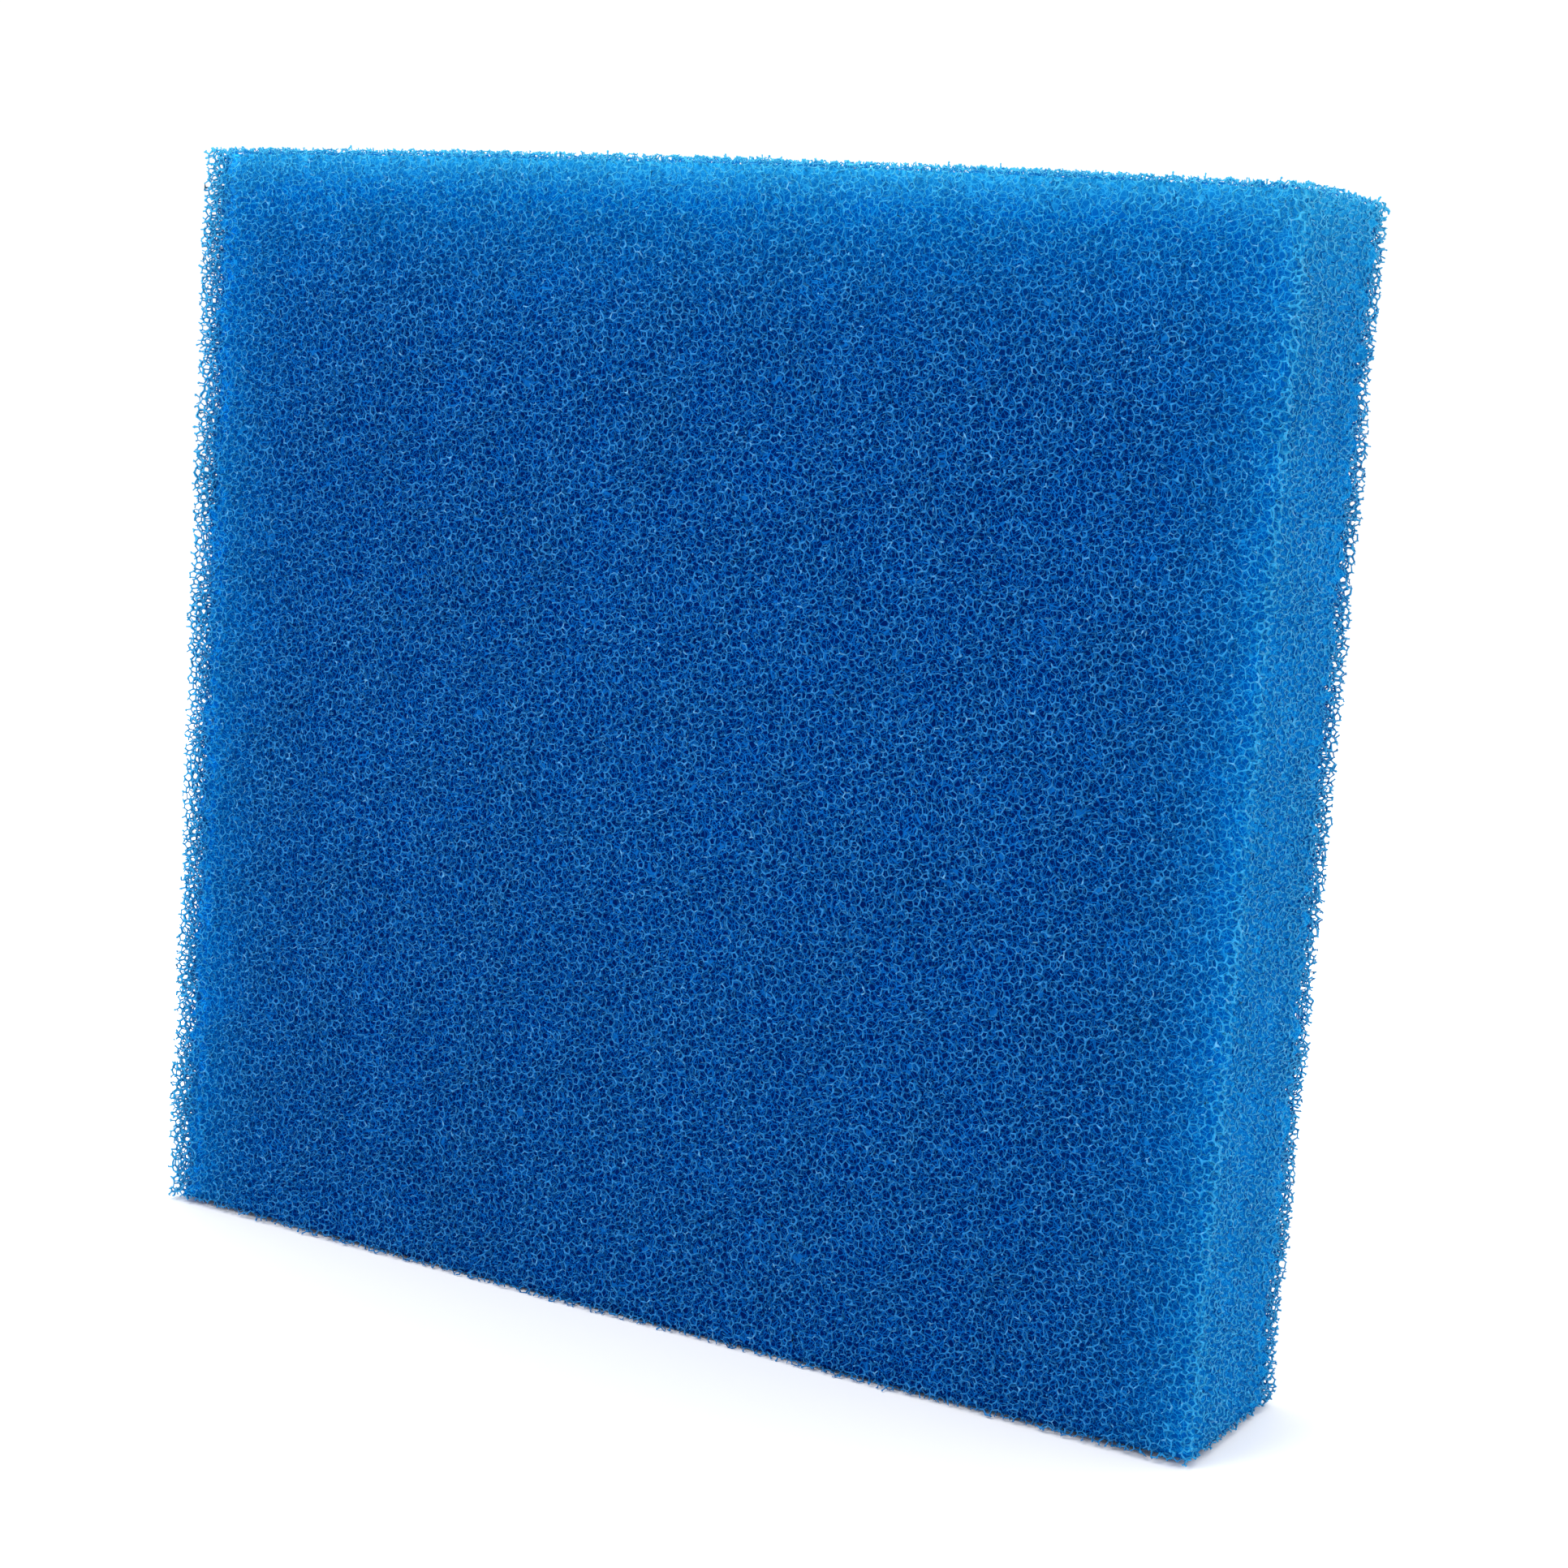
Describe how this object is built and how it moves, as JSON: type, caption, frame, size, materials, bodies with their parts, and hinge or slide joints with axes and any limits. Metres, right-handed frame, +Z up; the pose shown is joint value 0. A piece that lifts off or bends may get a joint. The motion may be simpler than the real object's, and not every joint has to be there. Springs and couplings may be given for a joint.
{
  "type": "sponge filter",
  "caption": "Rectangular slab of coarse blue open-cell filter foam that water passes through, for a pond or aquarium filter chamber.",
  "frame": {"origin": "middle of the bottom face, on the surface that the slab stands on", "axes": "+X across the slab's width, +Y through its thickness (the front face is -Y), +Z up its height"},
  "size_m": [0.275, 0.05, 0.26],
  "materials": {
    "blue_foam": "matte open-cell polyurethane foam, dyed blue"
  },
  "bodies": {
    "root": {"foam_block": "blue_foam"}
  },
  "joints": []
}
